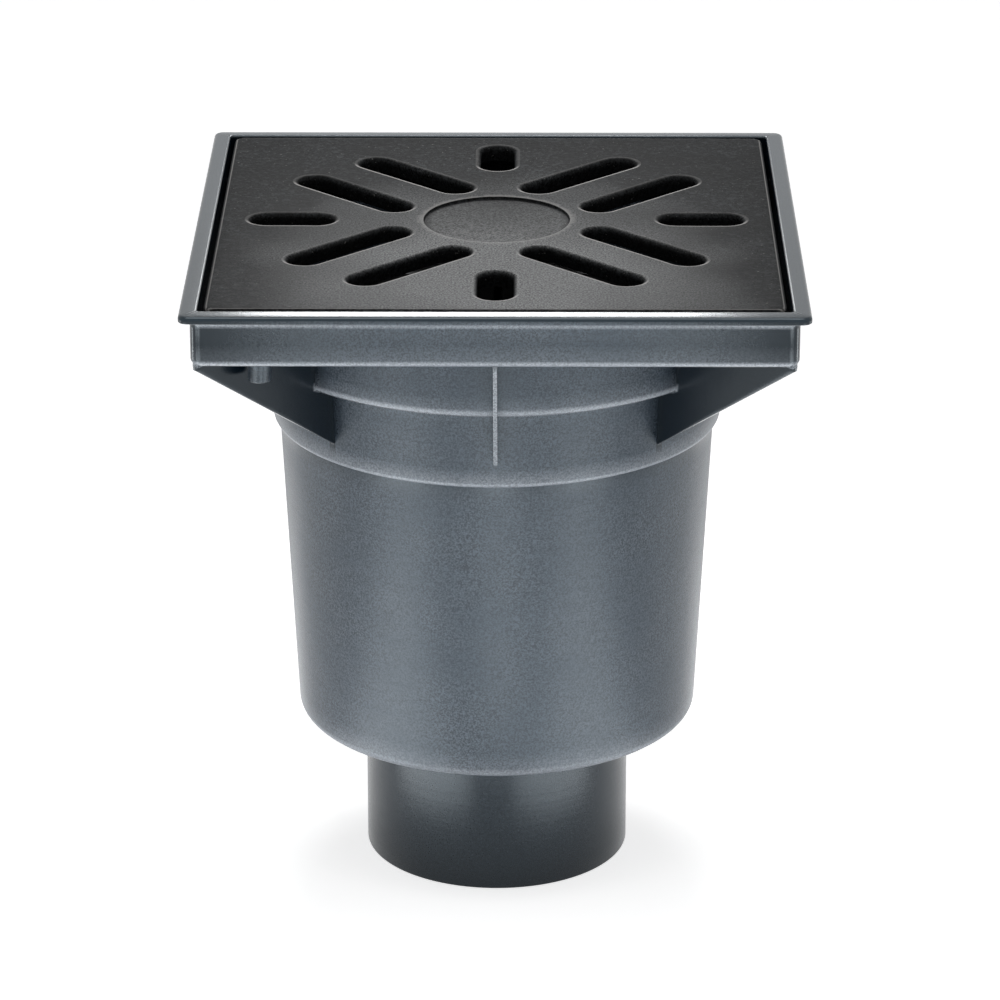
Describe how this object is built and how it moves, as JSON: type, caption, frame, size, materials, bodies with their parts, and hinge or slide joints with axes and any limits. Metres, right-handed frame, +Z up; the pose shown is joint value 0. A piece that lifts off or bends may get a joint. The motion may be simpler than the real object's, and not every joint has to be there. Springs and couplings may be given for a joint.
{
  "type": "gully trap",
  "caption": "Square yard gully with a vertical pipe outlet: plastic housing, slotted iron grate, sludge bucket and a trap funnel with a counterweighted flap.",
  "frame": {"origin": "centre of the outlet pipe's lower end, on which the gully stands", "axes": "+Z up along the outlet's axis, -Y to the front, with the peg under the front left corner, +X to the right"},
  "size_m": [0.244, 0.244, 0.2756],
  "materials": {
    "housing_plastic": "fine matt moulded plastic, dark blue grey",
    "cast_iron": "sand cast, dipped dark grey, slightly rough",
    "insert_plastic": "matt moulded plastic, near black",
    "seal_rubber": "matt black rubber",
    "steel": "plain stainless steel"
  },
  "bodies": {
    "housing": {"gully_body": "housing_plastic", "grate": "cast_iron", "sludge_bucket": "insert_plastic", "trap_funnel": "insert_plastic", "funnel_seal": "seal_rubber", "flap_pin": "steel", "pin_clip": "steel"},
    "flap": {"trap_flap": "insert_plastic", "flap_gasket": "seal_rubber", "counterweight": "steel", "counterweight_bolt": "steel", "counterweight_nut": "steel"}
  },
  "joints": [
    {"name": "flap_swing", "type": "hinge", "parent": "housing", "child": "flap", "pos_m": [-0.0445, 0, 0.12705], "axis": [0, 1, 0], "range_deg": [0, 50]}
  ]
}
